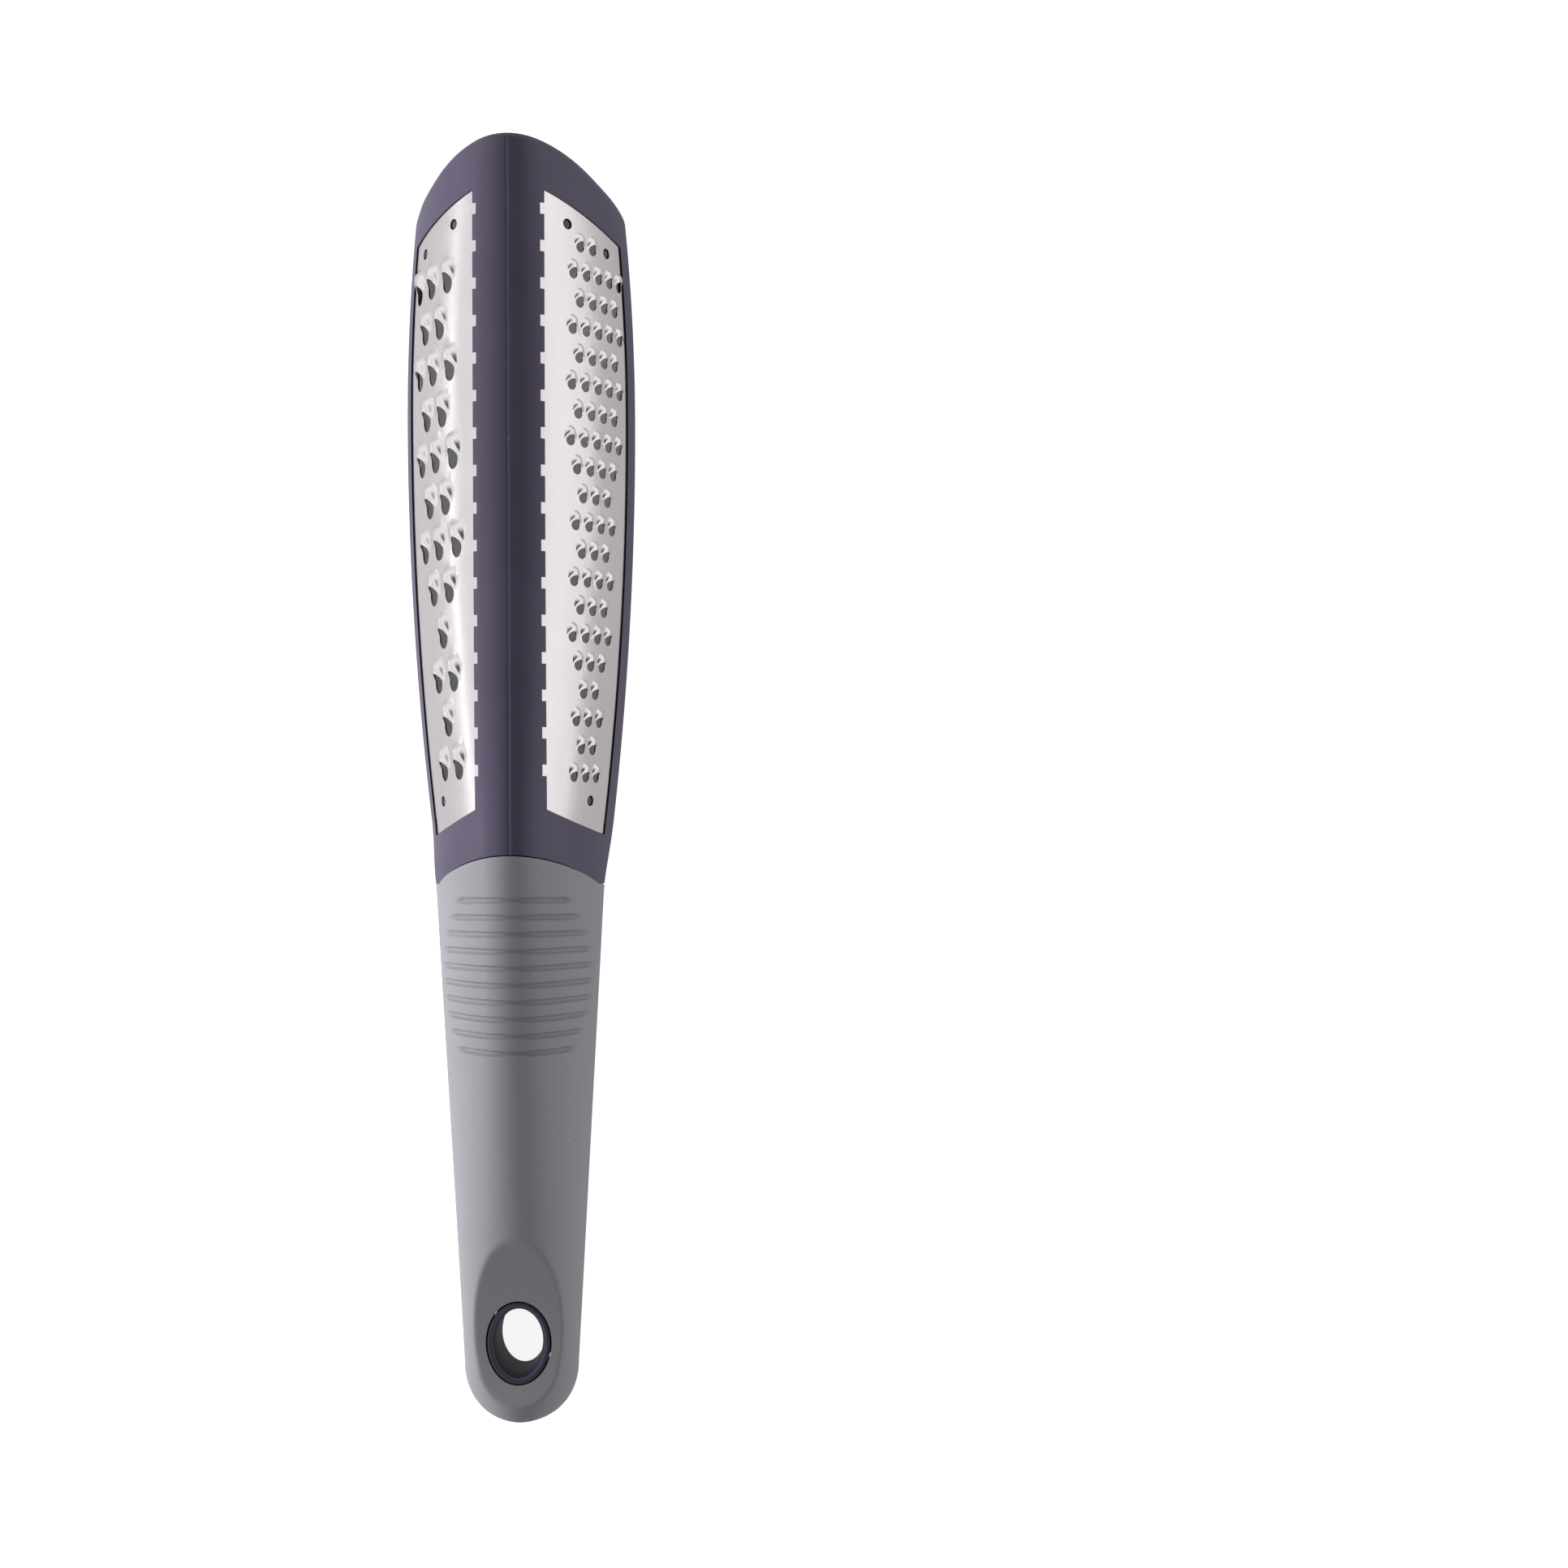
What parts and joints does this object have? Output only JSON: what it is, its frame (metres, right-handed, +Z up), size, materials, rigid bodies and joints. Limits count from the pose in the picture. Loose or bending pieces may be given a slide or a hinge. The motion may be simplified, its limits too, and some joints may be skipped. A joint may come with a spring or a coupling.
{
  "type": "hand grater",
  "caption": "Two-sided hand grater: arched dark head with a coarse and a fine steel plate, soft grey grip with thumb grooves and a hanging eyelet",
  "frame": {"origin": "middle of the footprint, on the table the grater lies on with its open back down", "axes": "+Y from the grip to the nose, +Z up from the table to the ridge, +X to the fine plate's side"},
  "size_m": [0.0522, 0.2859, 0.0265],
  "materials": {
    "dark_plastic": "satin moulded",
    "steel": "bright rolled sheet",
    "grey_rubber": "matt soft-touch",
    "eyelet_plastic": "semi-gloss moulded"
  },
  "bodies": {
    "root": {"head_frame": "dark_plastic", "coarse_plate": "steel", "fine_plate": "steel", "soft_grip": "grey_rubber", "hang_eyelet": "eyelet_plastic"}
  },
  "joints": []
}
